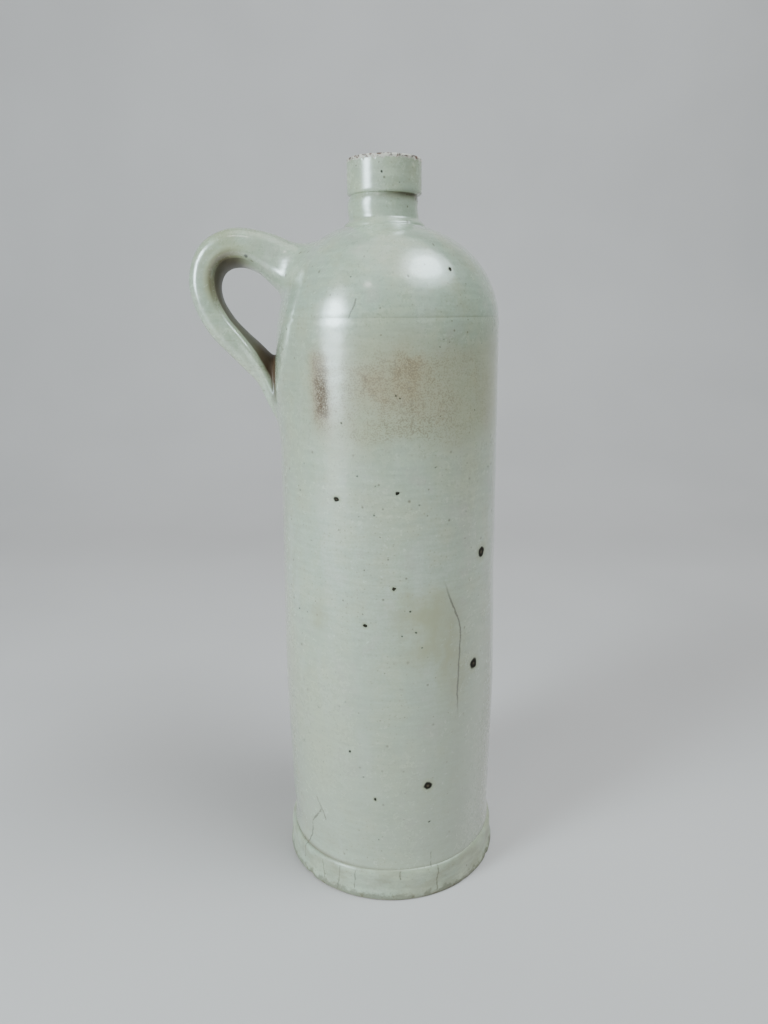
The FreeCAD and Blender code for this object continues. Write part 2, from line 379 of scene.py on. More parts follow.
def make_neck():
    """The neck: a small soft bead at its foot, the slim tube, and the step that carries the lip."""
    azimuths = once_round(NECK_AROUND)
    rows = []
    place = on_circle(azimuths, NECK_RADIUS, 276.0)
    wobble = 0.10 * soft_noise(place, 24, 31)
    foot = NECK_FOOT - 0.4
    for z in heights(foot, LIP_FOOT + 0.6, 0.3):
        bead = (BEAD_RADIUS - NECK_RADIUS) * bell(NECK_FOOT + 1.2, 1.15, z)
        root = 2.2 * bell(NECK_FOOT - 0.6, 1.3, z)
        tuck = -0.55 * bell(LIP_FOOT + 0.4, 1.6, z)
        out = 0.006 * np.sin(2 * math.pi * z / 2.6 + np.radians(azimuths)) + wobble
        rows.append((NECK_RADIUS + bead + root + tuck + out, z, neck_shift(z)))
    rows.append((SPIGOT_RADIUS + 0.5, LIP_FOOT + 0.6, NECK_OFFSET))
    rows.append((SPIGOT_RADIUS, LIP_FOOT + 1.0, NECK_OFFSET))
    for z in heights(LIP_FOOT + 2.5, TOP - 0.3, 2.0):
        rows.append((SPIGOT_RADIUS, z, NECK_OFFSET))
    rows.append((SPIGOT_RADIUS - 0.15, TOP - 0.05, NECK_OFFSET))
    bend = MOUTH_ROUND
    mouth = round_bend(BORE_RADIUS + bend, TOP - bend - 0.05, bend, 90, 180, 7)
    rows += [(*place, NECK_OFFSET) for place in mouth]
    for z in heights(TOP - 3, foot, 1.5):
        rows.append((BORE_RADIUS, z, NECK_OFFSET))
    rows.append((BORE_RADIUS + 2.0, foot, NECK_OFFSET))
    rows.append((NECK_RADIUS - 1.0, foot, NECK_OFFSET))
    return lathe("neck", azimuths, rows)


def make_lip():
    """The lip ring: softly rounded, with small bites out of its upper edge that show bare clay."""
    azimuths = once_round(LIP_AROUND)
    rows, chips = [], []
    edge = on_circle(azimuths, LIP_RADIUS, TOP)
    wobble = 0.08 * soft_noise(edge, 20, 41)
    rough = soft_noise(edge, 3.4, 43) * 0.8 + soft_noise(edge, 1.6, 44) * 0.5
    bite = np.clip(rough - 0.30, 0, 1)

    def add(radius, height, bitten):
        gone = bitten * bite
        rows.append((radius - 0.7 * gone + wobble, height - 0.5 * gone, NECK_OFFSET))
        chips.append(np.clip(bitten * bite * 3.5, 0, 1))

    add(NECK_RADIUS - 0.4, LIP_FOOT, 0)
    bend = LIP_FOOT_ROUND
    for place in round_bend(LIP_RADIUS - bend, LIP_FOOT + bend, bend, -90, 0, 7):
        add(*place, 0)
    for z in heights(LIP_FOOT + LIP_FOOT_ROUND + 0.6, TOP - LIP_TOP_ROUND - 0.25, 0.45):
        add(LIP_RADIUS + 0.012 * math.sin(z * 1.9), z, float(ease(TOP - 2.2, TOP - 0.8, z)))
    bend = LIP_TOP_ROUND
    for place in round_bend(LIP_RADIUS - bend, TOP - bend, bend, 0, 90, 8):
        add(*place, 1.0)
    for radius, bitten in ((13.1, 0.8), (12.5, 0.35), (11.9, 0.1)):
        add(radius, TOP, bitten)
    add(SPIGOT_RADIUS + 0.12, TOP - 0.06, 0)
    for z in [*heights(TOP - 1, LIP_FOOT + 1, 2.5), LIP_FOOT]:
        rows.append((SPIGOT_RADIUS, z, NECK_OFFSET))
        chips.append(np.zeros(len(azimuths)))
    piece = lathe("lip_ring", azimuths, rows)
    paint_layer(piece, "bare_clay", np.concatenate(chips))
    return piece


# ---- the handle ---------------------------------------------------------------------------------


def smooth_path(rows, per_span=26):
    """Close samples of the smooth curve through the rows, column by column."""
    rows = np.array(rows, dtype=float)
    padded = np.concatenate([[2 * rows[0] - rows[1]], rows, [2 * rows[-1] - rows[-2]]])
    samples = []
    for start in range(len(rows) - 1):
        before, here, after, beyond = padded[start : start + 4]
        for t in np.arange(per_span) / per_span:
            bow = (2 * before - 5 * here + 4 * after - beyond) * t**2
            sway = (3 * here - before - 3 * after + beyond) * t**3
            samples.append(0.5 * (2 * here + (after - before) * t + bow + sway))
    samples.append(rows[-1])
    return np.array(samples)


HANDLE_PATH = smooth_path(HANDLE_LINE)


def handle_place(x, z):
    """Where points lie in the handle: out from its centre line, across it, its half thickness and
    half width there, and how far along it is, counted in rows of HANDLE_LINE."""
    centre = HANDLE_PATH[:, :2]
    along = np.gradient(centre, axis=0)
    along /= np.linalg.norm(along, axis=1)[:, None]
    outward = np.stack([along[:, 1], -along[:, 0]], axis=1)
    flat = np.stack([x, z], axis=-1)
    nearest = np.zeros(flat.shape[:-1], dtype=int)
    at_once = 4000
    for start in range(0, len(flat), at_once):
        block = flat[start : start + at_once]
        gap = ((block[:, None, :] - centre[None]) ** 2).sum(axis=-1)
        nearest[start : start + at_once] = gap.argmin(axis=1)
    out = ((flat - centre[nearest]) * outward[nearest]).sum(axis=-1)
    thick, wide, twist = (HANDLE_PATH[nearest, column] for column in (2, 3, 4))
    return out, thick, wide, np.radians(twist), nearest * (len(HANDLE_LINE) - 1) / len(HANDLE_PATH)


def handle_section(out, across, thick, wide, twist):
    """Position in the strap's own section, turned with its twist: outward and across, each as a
    share of the half size, with the egg shape of the section taken into account."""
    section_out = out * np.cos(twist) + across * np.sin(twist)
    section_across = across * np.cos(twist) - out * np.sin(twist)
    hollow = 0.35 * bell(0, 0.45, section_across / wide) * ease(-0.2, 0.5, section_out / thick)
    up = (section_out + hollow) / thick
    egg = 1 - 0.13 * np.clip((up - 0.3) / 1.3, -1, 1) ** 2
    return up, section_across / (wide * egg)


def body_distance(x, y, z):
    """Distance from the body's outer surface, positive outside."""
    radius = np.hypot(x, y)
    azimuth = np.degrees(np.arctan2(x, -y))
    out = unevenness(azimuth, z)
    to_wall = radius - wall_radius(z)
    to_dome = np.hypot(radius - DOME_CENTRE[0], z - DOME_CENTRE[1]) - DOME_ARC
    return np.where(z < DOME_CENTRE[1], to_wall, to_dome) - out


def make_handle():
    """The pulled handle, luted to the body: a twisted strap that melts into the wall in fillets."""
    low, high = (np.array(corner) for corner in HANDLE_BOX)
    counts = ((high - low) / VOXEL).astype(int) + 1
    xs, ys, zs = (low[axis] + VOXEL * np.arange(counts[axis]) for axis in range(3))
    plane_x, plane_z = (a.ravel() for a in np.meshgrid(xs, zs, indexing="ij"))
    parts = handle_place(plane_x, plane_z)
    out, thick, wide, twist, along = (a.reshape(len(xs), 1, len(zs)) for a in parts)
    x, y, z = np.meshgrid(xs, ys, zs, indexing="ij")
    up, side = handle_section(out, y, thick, wide, twist)
    full = HANDLE_FULLNESS
    shape = (np.abs(up) ** full + np.abs(side) ** full) ** (1 / full)
    from_crest = np.abs(np.arctan2(side, up) + math.radians(CREST_TURN))
    shape *= 1 - (0.08 + 0.08 * ease(8.5, 10.5, along)) * bell(0, math.radians(14), from_crest)
    lean_up = (np.abs(up) / np.maximum(shape, 1e-6)) ** (full - 1) / thick
    lean_side = (np.abs(side) / np.maximum(shape, 1e-6)) ** (full - 1) / wide
    strap = (shape - 1) / np.hypot(lean_up, lean_side)
    place = np.stack([x, y, z], axis=-1)
    strap -= 0.14 * soft_noise(place, 13, 51) + 0.22 * soft_noise(place, 34, 52)
    strap += 5.0 * ease(200, 188, z)
    body = body_distance(x, y, z)
    reach = 4.0 + 4.4 * ease(244, 256, z)
    overlap = np.clip(reach - np.abs(strap - body), 0, None) / reach
    clay = np.minimum(strap, body) - overlap**2 * reach / 4
    clay = np.maximum.reduce([clay, -(body + HANDLE_SKIN), strap - (reach - 0.35)])
    grid = openvdb.FloatGrid(GRID_EDGE)
    near = np.clip(clay, -GRID_EDGE, GRID_EDGE)
    grid.copyFromArray(np.ascontiguousarray(near, dtype=np.float32))
    points, quads = grid.convertToQuads(isovalue=0.0)
    points = points * VOXEL + low
    faces = quads[:, ::-1] if signed_volume(points, quads) < 0 else quads
    piece = add_piece("handle", points, faces.tolist(), sharp=60.0)
    out, thick, wide, twist, along = handle_place(points[:, 0], points[:, 2])
    up, side = handle_section(out, points[:, 1], thick, wide, twist)
    around = np.degrees(np.arctan2(np.abs(side), up))
    paint_layer(piece, "strap_inner", ease(112, 150, around) * ease(1.5, 1.1, np.abs(side)))
    paint_layer(piece, "strap_under", ease(75, 135, around))
    paint_layer(piece, "strap_along", along)
    paint_layer(piece, "above_body", body_distance(*points.T))
    return piece


def signed_volume(points, quads):
    """Six times the volume inside; negative where the faces look inwards."""
    a, b, c, d = (points[quads[:, corner]] for corner in range(4))
    return (np.cross(a, b) * c).sum() + (np.cross(a, c) * d).sum()


# ---- materials ----------------------------------------------------------------------------------


class Paint:
    """One material's node tree, with a short call for each kind of node."""

    def __init__(self, name, unroll_radius=WALL_RADIUS):
        self.material = bpy.data.materials.new(name)
        self.material.use_nodes = True
        self.tree = self.material.node_tree
        self.tree.nodes.clear()
        place = self.add("ShaderNodeTexCoord").outputs["Object"]
        self.mm = self.vector("SCALE", place, scale=1000.0)
        self.x, self.y, self.z = self.split(self.mm)
        turn = self.math("ARCTAN2", self.x, self.times(self.y, -1.0))
        self.azimuth = self.math("DEGREES", turn)
        squares = self.sum(self.times(self.x, self.x), self.times(self.y, self.y))
        self.radius = self.math("SQRT", squares)
        self.unrolled = self.join(self.times(turn, unroll_radius), self.z)
        self.colour = self.roughness = self.relief = self.matte = None

    def add(self, kind, **settings):
        node = self.tree.nodes.new(kind)
        for key, value in settings.items():
            setattr(node, key, value)
        return node

    def feed(self, socket, source):
        if isinstance(source, bpy.types.NodeSocket):
            self.tree.links.new(source, socket)
        elif source is not None:
            socket.default_value = source

    def math(self, operation, a, b=None):
        node = self.add("ShaderNodeMath", operation=operation)
        self.feed(node.inputs[0], a)
        self.feed(node.inputs[1], b)
        return node.outputs[0]

    def vector(self, operation, a, b=None, scale=None, result="Vector"):
        node = self.add("ShaderNodeVectorMath", operation=operation)
        self.feed(node.inputs[0], a)
        self.feed(node.inputs[1], b)
        if scale is not None:
            self.feed(node.inputs["Scale"], scale)
        return node.outputs[result]

    def split(self, vector):
        node = self.add("ShaderNodeSeparateXYZ")
        self.feed(node.inputs[0], vector)
        return node.outputs

    def join(self, x, y, z=0.0):
        node = self.add("ShaderNodeCombineXYZ")
        for socket, source in zip(node.inputs, (x, y, z)):
            self.feed(socket, source)
        return node.outputs[0]

    def step(self, value, low, high, start=0.0, end=1.0):
        """start below low, end above high, smooth between. low may be the larger."""
        node = self.add("ShaderNodeMapRange", interpolation_type="SMOOTHSTEP")
        for socket, source in zip(node.inputs, (value, low, high, start, end)):
            self.feed(socket, source)
        return node.outputs[0]

    def noise(self, size, detail=2.0, rough=0.5, stretch=(1, 1, 1), seed=0.0, result=0):
        """Noise in 0 to 1 with features about size mm across, stretched along some axes."""
        place = self.vector("DIVIDE", self.mm, tuple(size * s for s in stretch))
        place = self.vector("ADD", place, (seed, seed * 1.7, -seed * 0.6))
        node = self.add("ShaderNodeTexNoise", noise_dimensions="3D", normalize=True)
        self.feed(node.inputs["Vector"], place)
        self.feed(node.inputs["Scale"], 1.0)
        self.feed(node.inputs["Detail"], detail)
        self.feed(node.inputs["Roughness"], rough)
        return node.outputs[result]

    def cells(self, size, seed=0.0):
        """Distance in mm to points scattered on the unrolled wall about size apart, and two random
        numbers for each point."""
        place = self.vector("SCALE", self.unrolled, scale=1 / size)
        place = self.vector("ADD", place, (seed, seed, 0.0))
        node = self.add("ShaderNodeTexVoronoi", feature="F1", voronoi_dimensions="2D")
        self.feed(node.inputs["Vector"], place)
        self.feed(node.inputs["Scale"], 1.0)
        chance = self.split(node.outputs["Color"])
        return self.times(node.outputs["Distance"], size), chance[0], chance[1]

    def mix(self, share, a, b, blend="MIX"):
        node = self.add("ShaderNodeMix", data_type="RGBA", blend_type=blend)
        self.feed(node.inputs[0], share)
        self.feed(node.inputs[6], tuple(a) + (1.0,) if isinstance(a, tuple) else a)
        self.feed(node.inputs[7], tuple(b) + (1.0,) if isinstance(b, tuple) else b)
        return node.outputs[2]

    def layer(self, name):
        return self.add("ShaderNodeAttribute", attribute_name=name).outputs["Fac"]

    def chain(self, operation, values):
        total = values[0]
        for value in values[1:]:
            total = self.math(operation, total, value)
        return total

    def largest(self, *values):
        return self.chain("MAXIMUM", values)

    def times(self, *values):
        return self.chain("MULTIPLY", values)

    def sum(self, *values):
        return self.chain("ADD", values)

    def minus(self, a, b):
        return self.math("SUBTRACT", a, b)

    def away(self, value, centre):
        """How far a value is from a centre, either way."""
        return self.math("ABSOLUTE", self.minus(value, centre))

    def lay(self, colour, *shares):
        """Lays a colour over what is there, as strongly as its shares multiplied together."""
        self.colour = self.mix(self.times(*shares), self.colour, colour)

    def shade(self, *factors):
        """Darkens the colour by factors that vary over the surface."""
        factor = self.times(*factors)
        grey = self.join(factor, factor, factor)
        self.colour = self.mix(1.0, self.colour, grey, blend="MULTIPLY")

    def raise_by(self, *heights):
        """Adds the heights' product to the relief, in mm; less than nothing presses in."""
        self.relief = self.sum(self.relief, self.times(*heights))

    def band(self, value, low, high, soft):
        """1 between low and high, fading over soft on either side."""
        above = self.step(value, low - soft, low + soft)
        below = self.step(value, high + soft, high - soft)
        return self.times(above, below)

    def stroke(self, points, width, wander):
        """How strongly a thin drawn line covers the wall. Points are (azimuth, height)."""
        place = self.vector("ADD", self.unrolled, self.vector("SCALE", self.wander, scale=wander))
        gaps = []
        for (start_az, start_z), (end_az, end_z) in zip(points, points[1:]):
            start = Vector((math.radians(start_az) * WALL_RADIUS, start_z, 0))
            span = Vector((math.radians(end_az) * WALL_RADIUS, end_z, 0)) - start
            offset = self.vector("SUBTRACT", place, tuple(start))
            along = tuple(span / span.length_squared)
            share = self.vector("DOT_PRODUCT", offset, along, result="Value")
            share = self.math("MINIMUM", self.math("MAXIMUM", share, 0.0), 1.0)
            foot = self.vector("SCALE", tuple(span), scale=share)
            gaps.append(self.vector("DISTANCE", offset, foot, result="Value"))
        gap = self.chain("MINIMUM", gaps)
        return self.step(gap, width * 0.5 + 0.22, width * 0.5 - 0.12)

    def dull(self, *shares):
        """Takes the glaze's shine away where all the shares are 1."""
        share = self.times(*shares)
        self.matte = share if self.matte is None else self.largest(self.matte, share)
        self.roughness = self.sum(self.roughness, self.times(share, 0.5))

    def finish(self, coat, specular):
        """Ends the material: one shader, with the relief in mm."""
        bump = self.add("ShaderNodeBump")
        bump.inputs["Distance"].default_value = MM
        self.feed(bump.inputs["Height"], self.relief)
        shader = self.add("ShaderNodeBsdfPrincipled")
        self.feed(shader.inputs["Base Color"], self.colour)
        self.feed(shader.inputs["Roughness"], self.roughness)
        shader.inputs["Specular IOR Level"].default_value = specular
        shader.inputs["Coat Weight"].default_value = coat
        if self.matte is not None:
            shine = self.times(self.minus(1.0, self.matte), coat)
            self.feed(shader.inputs["Coat Weight"], shine)
            tint = self.mix(self.matte, SHINY_TINT, DULL_TINT)
            self.feed(shader.inputs["Specular Tint"], tint)
        shader.inputs["Coat Roughness"].default_value = COAT_ROUGHNESS
        self.feed(shader.inputs["Normal"], bump.outputs[0])
        output = self.add("ShaderNodeOutputMaterial")
        self.tree.links.new(shader.outputs[0], output.inputs[0])
        return self.material


COAT_ROUGHNESS = 0.13
SHINY_TINT = (1.0, 1.0, 1.0)
DULL_TINT = (0.1, 0.1, 0.1)

# Colours, linear.
CELADON = (0.440, 0.476, 0.350)
CELADON_COOL = (0.405, 0.480, 0.367)
CELADON_WARM = (0.480, 0.482, 0.320)
CELADON_THIN = (0.542, 0.568, 0.475)
CELADON_PAINTED_SHADE = (0.370, 0.388, 0.285)
CELADON_ROSE = (0.485, 0.473, 0.382)
WASH = (0.425, 0.380, 0.238)
WASH_EDGE = (0.418, 0.414, 0.258)
BLUSH = (0.140, 0.080, 0.038)
BLUSH_DEEP = (0.090, 0.044, 0.017)
RUST = (0.360, 0.235, 0.125)
STAIN = (0.345, 0.345, 0.200)
STAIN_FOOT = (0.300, 0.275, 0.190)
IRON = (0.016, 0.012, 0.008)
PALE_IRON_AND_GLINT = (0.130, 0.105, 0.065)
SHADED_GLAZE = (0.095, 0.078, 0.052)
POOL = (0.075, 0.040, 0.019)
BROWN_POOL_AND_SHADE = (0.150, 0.115, 0.060)
BARE_CLAY = (0.160, 0.088, 0.066)
BARE_PALE = (0.620, 0.560, 0.480)
BURNT_CLAY = (0.075, 0.045, 0.036)
SOLE_CLAY = (0.300, 0.240, 0.170)
SOLE_CLAY_PALE = (0.460, 0.400, 0.310)
PALE_FLOOR = (0.610, 0.555, 0.545)
DARK_SOLE_EDGE = (0.140, 0.125, 0.090)
CRACK = (0.110, 0.098, 0.060)

# The iron spots on the body that stand out: azimuth, height, width across.
SPOTS = [
    (-26, 170.6, 2.7), (54.5, 145.6, 5.5), (48, 99.7, 5.5), (19.5, 52, 4.3), (85, 199.5, 3.0),
    (4, 173.5, 1.6), (2, 137, 1.9), (-12, 122, 2.0), (36, 252, 2.0), (-8, 47, 1.7),
    (-21, 67.5, 1.5), (-53, 122.7, 1.1), (-46, 122.7, 0.9), (13, 119, 1.1), (6, 118, 1.0),
    (10, 127.7, 1.1), (16, 112.5, 0.8), (-50, 171.7, 1.0), (-7, 165.3, 0.9), (-14.5, 164.7, 0.7),
    (-15, 180, 0.9), (-6.5, 176.5, 0.8), (-46, 182.5, 0.8), (14.5, 169, 0.8), (-47.5, 158.5, 0.7),
    (-42, 153, 0.7), (3.5, 209, 1.0), (5.5, 208, 0.9), (27, 228, 0.7), (30, 227, 0.6),
    (33, 224.3, 0.6), (25, 225.5, 0.6), (52, 226, 0.7), (46.5, 202, 1.0), (25, 201, 0.9),
    (-22.5, 199, 0.9), (-19, 249.5, 0.9), (-39.5, 83, 0.9), (-23, 89, 0.7), (-53, 63.5, 0.9),
    (-14, 57, 0.9), (23, 182.5, 0.8), (61, 179, 1.0), (20.5, 35, 1.1), (-6.5, 28, 0.9),
    (118, 196, 3.6), (152, 88, 3.6), (-150, 140, 2.8), (-118, 64, 2.2), (172, 214, 2.0),
    (130, 60, 1.6), (168, 158, 1.6), (-165, 96, 1.1), (-128, 178, 1.6), (100, 130, 1.8),
    (-140, 30, 1.6), (-175, 236, 2.2),
]
# The few on the handle and on the lip ring: x, y, z and azimuth, height, width across.
HANDLE_SPOTS = [(-74.0, -4.5, 234.2), (-53.8, -10.0, 258.4), (-66.0, 8.5, 262.0)]
LIP_SPOTS = [(-3, 287, 1.2), (-45, 290, 0.8), (23, 283.7, 0.7), (140, 286, 1.0)]


def glaze(name, cool=0.0, unroll_radius=WALL_RADIUS):
    """The pale grey-green glaze they all share: clouds, faint runs, freckles, fine relief."""
    paint = Paint(name, unroll_radius)
    wander = paint.noise(2.2, seed=5.0, result=1)
    paint.wander = paint.vector("SUBTRACT", wander, (0.5, 0.5, 0.5))
    clouds = paint.noise(38, detail=3.0, stretch=(1, 1, 1.8), seed=1.0)
    runs = paint.noise(7, detail=3.0, rough=0.6, stretch=(1, 1, 5), seed=2.0)
    mottle = paint.noise(2.6, detail=3.0, rough=0.65, seed=3.0)
    patches = paint.noise(12, detail=4.0, rough=0.6, seed=9.0)
    wiping = paint.noise(1.6, detail=3.0, rough=0.6, stretch=(7, 7, 1), seed=8.0)
    grain = paint.noise(0.8, rough=0.6, seed=4.0)
    paint.colour = paint.mix(paint.step(clouds, 0.35, 0.68), CELADON_COOL, CELADON_WARM)
    paint.lay(CELADON, 0.45)
    paint.lay(CELADON_COOL, paint.step(paint.z, 214, 240, cool * 0.1, cool))
    paint.lay(CELADON_WARM, paint.step(patches, 0.42, 0.70, 0.0, 0.55))
    paint.lay(CELADON_ROSE, paint.step(patches, 0.48, 0.25, 0.0, 0.60))
    paint.lay(CELADON_THIN, paint.step(runs, 0.5, 0.75, 0.0, 0.35))
    paint.lay(CELADON_THIN, paint.step(mottle, 0.25, 0.8, 0.0, 0.08))
    paint.shade(
        paint.step(grain, 0.3, 0.75, 0.93, 1.04),
        paint.step(wiping, 0.3, 0.7, 0.91, 1.04),
        paint.step(mottle, 0.3, 0.7, 0.97, 1.02),
    )
    gap, chance, size = paint.cells(9.0, seed=7.0)
    reach = paint.step(size, 0.3, 1.0, 0.40, 0.85)
    freckle = paint.times(paint.step(chance, 0.50, 0.52), paint.step(gap, reach, 0.15))
    fine_gap, fine_chance, _ = paint.cells(2.3, seed=11.0)
    pepper = paint.times(paint.step(fine_chance, 0.5, 0.6), paint.step(fine_gap, 0.45, 0.12))
    peppered = paint.step(patches, 0.35, 0.65, 0.08, 0.38)
    paint.lay(PALE_IRON_AND_GLINT, freckle, 0.75)
    paint.lay(PALE_IRON_AND_GLINT, pepper, peppered)
    white_gap, white_chance, _ = paint.cells(13.0, seed=19.0)
    crumb = paint.times(paint.step(white_chance, 0.6, 0.62), paint.step(white_gap, 0.75, 0.3))
    paint.lay(BARE_PALE, crumb, 0.18)
    ripple = paint.noise(6.5, stretch=(1, 1, 0.7), seed=6.0)
    paint.relief = paint.sum(
        paint.times(ripple, 0.060),
        paint.times(mottle, 0.0025),
        paint.times(grain, 0.001),
        paint.times(freckle, -0.05),
    )
    paint.roughness = paint.sum(
        paint.step(clouds, 0.3, 0.8, 0.21, 0.28), paint.step(mottle, 0.3, 0.8, 0.0, 0.06)
    )
    return paint


def add_spots(paint, spots, offset=0.0):
    """Iron spots burnt through the glaze: ragged dark craters, the large ones with a rusty edge and
    a painted glint at the centre.
    """
    marks, halos, pit_glints = [], [], []
    ragged = paint.vector("ADD", paint.mm, paint.vector("SCALE", paint.wander, scale=1.3))
    for azimuth, height, width in spots:
        radius = LIP_RADIUS
        if height < NECK_FOOT:
            radius = body_radius(height) + unevenness(azimuth, height)
        centre = on_circle(azimuth, radius, height) + np.array([offset, 0, 0])
        gap = paint.vector("DISTANCE", ragged, tuple(centre.tolist()), result="Value")
        strength = min(1.0, 0.25 + 0.55 * width)
        marks.append(paint.step(gap, width * 0.52, width * 0.30, 0.0, strength))
        if width > 1.6:
            halos.append(paint.step(gap, width * 0.95, width * 0.45))
            pit_glints.append(paint.step(gap, width * 0.17, width * 0.07))
    mark = paint.largest(*marks)
    if halos:
        paint.lay(STAIN, paint.largest(*halos), 0.5)
    paint.lay(IRON, mark)
    # a painted glint: a lighter centre in each large spot
    if pit_glints:
        paint.lay(PALE_IRON_AND_GLINT, paint.largest(*pit_glints), 0.55)
    paint.raise_by(mark, -0.12)
    paint.dull(mark)


def add_blush(paint):
    """The brown flash below the shoulder: a grainy band, a narrow rusty streak at the left of the
    front, and a broad patch in the middle with two lobes."""
    drift = paint.minus(paint.noise(24, detail=4.0, rough=0.6, seed=21.0), 0.5)
    height = paint.sum(paint.z, paint.times(drift, 30.0))
    turn = paint.sum(paint.azimuth, paint.times(drift, 26.0))
    band = paint.times(paint.step(height, 178, 200), paint.step(height, 238, 217))
    front = paint.step(paint.away(paint.azimuth, 14), 78, 22, 0.15, 1.0)
    band = paint.times(band, front, paint.step(paint.sum(drift, 0.5), 0.3, 0.62, 0.55, 1.0))
    lean = paint.sum(paint.azimuth, paint.times(paint.minus(paint.z, 212), 0.08))
    from_streak = paint.away(lean, -33.5)
    streak = paint.times(
        paint.step(from_streak, 9.5, 2.0),
        paint.step(paint.z, 188, 204),
        paint.step(paint.z, 229, 219),
    )
    core = paint.times(
        paint.step(from_streak, 5.6, 1.4),
        paint.step(paint.z, 198, 204),
        paint.step(paint.z, 225, 210),
    )

    def lobe(centre, widths, foot, top):
        """A patch about an azimuth, fading between two widths, and at its foot and its top."""
        across = paint.step(paint.away(turn, centre), *widths)
        return paint.times(across, paint.step(height, *foot), paint.step(height, *top))

    lobes = [
        lobe(-5.0, (15, 4), (199, 210), (225, 217)),
        lobe(11.0, (13, 3), (199, 211), (231, 221)),
    ]
    low_lobe = paint.times(lobe(8.0, (24, 8), (186, 197), (214, 204)), 0.8)
    patch = paint.largest(*lobes, low_lobe)
    clot = paint.noise(2.6, detail=4.0, rough=0.7, stretch=(1, 1, 1.25), seed=22.0)
    dots = paint.noise(0.55, rough=0.6, seed=23.0)
    speckle = paint.sum(paint.times(clot, 0.25), paint.times(dots, 0.75))
    wash = [paint.times(band, 0.78), paint.times(patch, 0.88), paint.times(streak, 0.82)]
    wash = paint.times(paint.largest(*wash), paint.step(clot, 0.25, 0.55, 0.80, 1.0))
    tone = paint.mix(paint.step(height, 190, 206), WASH_EDGE, WASH)
    paint.lay(tone, wash)
    rust = paint.largest(paint.times(streak, 0.50), paint.times(paint.largest(*lobes), 0.26))
    paint.lay(RUST, rust)
    much = paint.largest(paint.times(band, 0.60), paint.times(patch, 0.85), streak)
    cover = paint.step(paint.sum(speckle, paint.times(much, 0.12)), 0.52, 0.74)
    paint.lay(BLUSH, cover, paint.step(much, 0.0, 0.6, 0.0, 0.72))
    dense = paint.times(core, paint.step(speckle, 0.38, 0.56, 0.30, 1.0))
    paint.lay(BLUSH_DEEP, dense, 0.92)
    paint.dull(dense, 0.55)
    paint.lay(CELADON_THIN, band, paint.step(dots, 0.58, 0.74, 0.0, 0.4))
    paint.roughness = paint.sum(paint.roughness, paint.times(wash, 0.14))
    paint.raise_by(band, dots, 0.02)


def add_stains(paint):
    """Yellowed patches low on the front and round the long crack, and the crack itself."""
    cloud = paint.noise(9, detail=4.0, rough=0.6, stretch=(1, 1, 1.4), seed=31.0)
    drift = paint.minus(paint.noise(17, detail=4.0, rough=0.6, seed=32.0), 0.5)
    height = paint.sum(paint.z, paint.times(drift, 34.0))
    turn = paint.minus(paint.azimuth, paint.times(drift, 30.0))
    front = paint.times(paint.band(turn, 6, 36, 11), paint.band(height, 107, 132, 10))
    beside = paint.times(paint.band(turn, 26, 37, 6), paint.band(height, 92, 130, 14))
    left = paint.times(paint.band(turn, -40, -33, 7), paint.band(height, 114, 128, 7), 0.8)
    cloudy = paint.step(cloud, 0.25, 0.62, 0.55, 1.0)
    paint.lay(STAIN, paint.largest(front, beside, left), cloudy)
    path = [(28, 138), (32.5, 128.5), (37, 120.5), (38, 116), (37, 103), (36, 90), (37, 76)]
    line = paint.times(paint.stroke(path, 0.70, 1.0), paint.band(paint.z, 84, 134, 7))
    paint.lay(CRACK, line, 0.88)
    paint.raise_by(line, -0.06)


def add_foot_cracks(paint):
    """Fine firing cracks that run up out of the foot."""
    long_ones = [
        [(25.2, 12.9), (24.7, 8), (24.5, 2)],
        [(-55.5, 6), (-54.3, 13.5), (-50.6, 18), (-49, 26), (-40.5, 35)],
        [(-44, 40), (-39.5, 34.5), (-37.5, 31)],
        [(4.5, 13.2), (4.6, 10.0)],
    ]
    short_ones = [
        [(21.6, 19.5), (21.4, 13.4)],
        [(-39.5, 11.5), (-38.5, 3)],
        [(-28, 12), (-29.5, 1.5)],
        [(-58, 14), (-57, 8)],
        [(96, 13), (97.5, 3)],
        [(160, 16), (158, 4)],
        [(-19, 12), (-20, 4)],
        [(-120, 12.5), (-121, 1)],
    ]
    strong = paint.largest(*(paint.stroke(points, 0.55, 1.6) for points in long_ones))
    faint = paint.largest(*(paint.stroke(points, 0.42, 1.4) for points in short_ones))
    cover = paint.largest(paint.times(strong, 0.80), paint.times(faint, 0.62))
    paint.lay(CRACK, cover)
    paint.raise_by(cover, -0.07)


def barrel_material():
    """The wall: painted shade making the glaze a little greyer low on the right, with everything
    that marks it.
    """
    paint = glaze("glaze_barrel", cool=0.5)
    # painted shade: the glaze greyer and darker low down on the right, away from the window
    low = paint.step(paint.z, 150, 40)
    paint.lay(CELADON_PAINTED_SHADE, low, paint.step(paint.azimuth, 0, 60, 0.35, 0.85))
    add_blush(paint)
    add_stains(paint)
    add_foot_cracks(paint)
    add_spots(paint, [s for s in SPOTS if s[1] < RING_LINE])
    seam = paint.times(paint.step(paint.z, FOOT_TOP + 1.9, FOOT_TOP - 0.2), 0.75)
    left = paint.step(paint.azimuth, 20, -40, 0.35, 1.0)
    paint.lay(BROWN_POOL_AND_SHADE, seam, left)
    return paint.finish(coat=1.0, specular=1.0)


def shoulder_material():
    """The dome: the top of the blush, one scratch, and the line below darkened, more on the right.
    """
    paint = glaze("glaze_shoulder", cool=0.85)
    add_blush(paint)
    scratch = paint.stroke([(-15, 242), (-15.5, 240), (-17, 237.7), (-18.2, 235.3)], 0.50, 1.0)
    paint.lay(CRACK, scratch, 0.75)
    add_spots(paint, [s for s in SPOTS if s[1] > RING_LINE])
    # the line round the bottle darker, more on the right
    ring = paint.band(paint.z, RING_LINE - 0.5, RING_LINE + 0.3, 0.6)
    paint.lay(BROWN_POOL_AND_SHADE, ring, paint.step(paint.azimuth, -30, 20, 0.1, 0.38))
    return paint.finish(coat=1.0, specular=1.0)


